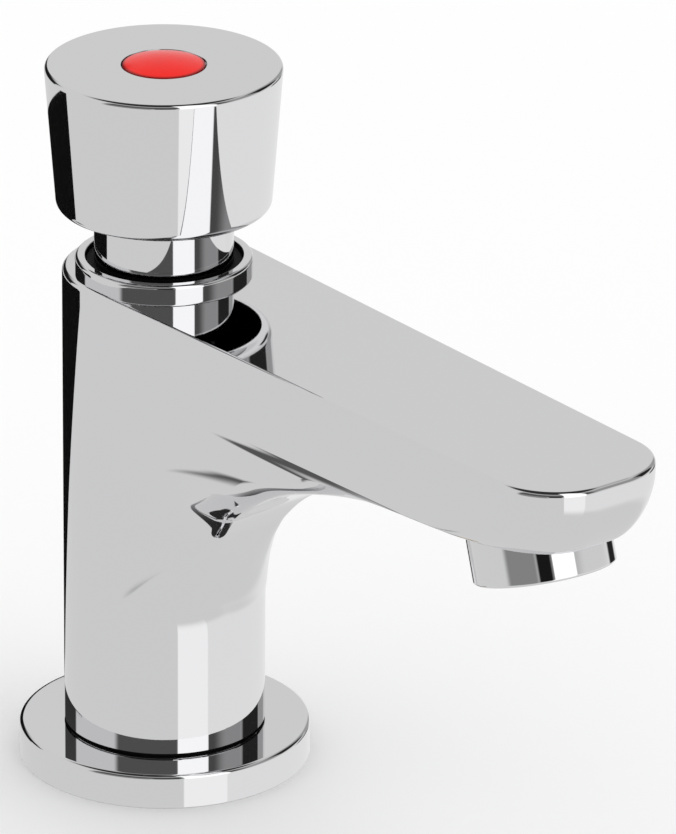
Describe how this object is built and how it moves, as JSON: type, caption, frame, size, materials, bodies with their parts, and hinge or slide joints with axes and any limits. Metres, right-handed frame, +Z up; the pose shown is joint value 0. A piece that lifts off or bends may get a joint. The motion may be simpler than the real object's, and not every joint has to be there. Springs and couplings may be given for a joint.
{
  "type": "push timed tap",
  "caption": "Deck-mounted push timed basin tap: pressing the knob opens the valve, a spring and a timing piston close it again; threaded tail with washers and nut.",
  "frame": {"origin": "on the axis of the tap's column, at the deck's surface, which is the underside of the base flange", "axes": "+Z up along the column, -Y forward along the spout, X across it"},
  "size_m": [0.055, 0.1591, 0.1944],
  "materials": {
    "chrome": "polished chrome plate",
    "red_plastic": "glossy, translucent-looking red",
    "steel": "plain stainless steel",
    "brass": "turned, unplated",
    "white_plastic": "moulded",
    "rubber": "black rubber"
  },
  "bodies": {
    "tap": {"body": "chrome", "base_flange": "chrome", "flange_seal": "rubber", "shank_tail": "brass", "tail_o_ring": "rubber", "inlet_strainer": "white_plastic", "seat_gasket": "rubber", "valve_seat": "brass", "valve_cage": "white_plastic", "cage_o_ring": "rubber", "bonnet": "chrome", "bonnet_o_ring": "rubber", "stem_o_ring": "rubber", "guide_bush": "white_plastic", "bush_circlip": "steel", "collar_ring": "chrome", "return_spring": "steel", "nozzle_housing": "chrome", "nozzle_seal": "rubber", "spray_insert": "white_plastic", "flow_regulator": "white_plastic", "outlet_screen": "steel"},
    "plunger": {"push_knob": "chrome", "index_disc": "red_plastic", "knob_screw": "steel", "knob_washer": "steel", "stem": "steel", "piston": "white_plastic", "lip_seal": "rubber", "piston_clip": "steel", "valve_disc": "brass", "valve_washer": "rubber", "disc_nut": "brass"},
    "washers": {"deck_washer": "rubber", "clamp_washer": "steel"},
    "nut": {"back_nut": "brass"}
  },
  "joints": [
    {"name": "knob_push", "type": "slide", "parent": "tap", "child": "plunger", "axis": [0, 0, -1], "range_m": [0, 0.006], "stiffness_N_per_m": 1200, "springref_m": -0.008, "deforming": ["return_spring"]},
    {"name": "clamp_slide", "type": "slide", "parent": "tap", "child": "washers", "axis": [0, 0, 1], "range_m": [-0.01, 0.012]},
    {"name": "nut_turn", "type": "hinge", "parent": "washers", "child": "nut", "pos_m": [0, 0, -0.0231], "axis": [0, 0, 1], "range_deg": [-1980, 2376]}
  ],
  "couplings": [
    {"joint": "clamp_slide", "follows": "nut_turn", "m_per_rad": 0.00028871}
  ]
}
